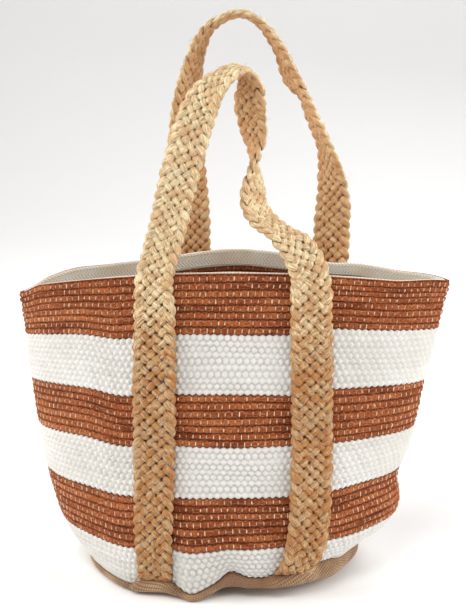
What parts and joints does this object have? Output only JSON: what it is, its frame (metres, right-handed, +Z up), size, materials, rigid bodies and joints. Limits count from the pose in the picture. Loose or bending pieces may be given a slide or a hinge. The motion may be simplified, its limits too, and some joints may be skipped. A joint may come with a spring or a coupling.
{
  "type": "woven market basket",
  "caption": "Soft striped woven cotton market basket on an oval jute base, with a lens-shaped open mouth and long flat plaited carrying handles that swing.",
  "frame": {"origin": "centre of the flat underside of the base, on the surface the basket stands on", "axes": "+Z up through the mouth, +Y from the front panel to the back panel, +X to the right seen from the front"},
  "size_m": [0.4536, 0.2307, 0.5853],
  "materials": {
    "rust_cotton": "thick plain weave, matt",
    "white_cotton": "thick pebbled plain weave, matt",
    "jute_braid": "plaited jute, slight fibre sheen",
    "jute_cloth": "coarse jute cloth, matt",
    "herringbone_tape": "fine herringbone cotton tape, matt"
  },
  "bodies": {
    "body": {"front_rust_band_upper": "rust_cotton", "front_white_band_upper": "white_cotton", "front_rust_band_middle": "rust_cotton", "front_white_band_middle": "white_cotton", "front_rust_band_lower": "rust_cotton", "front_white_band_lower": "white_cotton", "back_rust_band_upper": "rust_cotton", "back_white_band_upper": "white_cotton", "back_rust_band_middle": "rust_cotton", "back_white_band_middle": "white_cotton", "back_rust_band_lower": "rust_cotton", "back_white_band_lower": "white_cotton", "rim_tape": "herringbone_tape", "base_seam_tape": "herringbone_tape", "left_seam_binding": "herringbone_tape", "right_seam_binding": "herringbone_tape", "base_panel": "jute_cloth", "front_handle_left_leg": "jute_braid", "front_handle_right_leg": "jute_braid", "back_handle_left_leg": "jute_braid", "back_handle_right_leg": "jute_braid"},
    "front_handle": {"front_handle_loop": "jute_braid"},
    "back_handle": {"back_handle_loop": "jute_braid"}
  },
  "joints": [
    {"name": "front_handle_swing", "type": "hinge", "parent": "body", "child": "front_handle", "pos_m": [0, -0.0578, 0.3275], "axis": [1, 0, 0], "range_deg": [-12, 160]},
    {"name": "back_handle_swing", "type": "hinge", "parent": "body", "child": "back_handle", "pos_m": [0, 0.0602, 0.329], "axis": [-1, 0, 0], "range_deg": [-12, 160]}
  ]
}
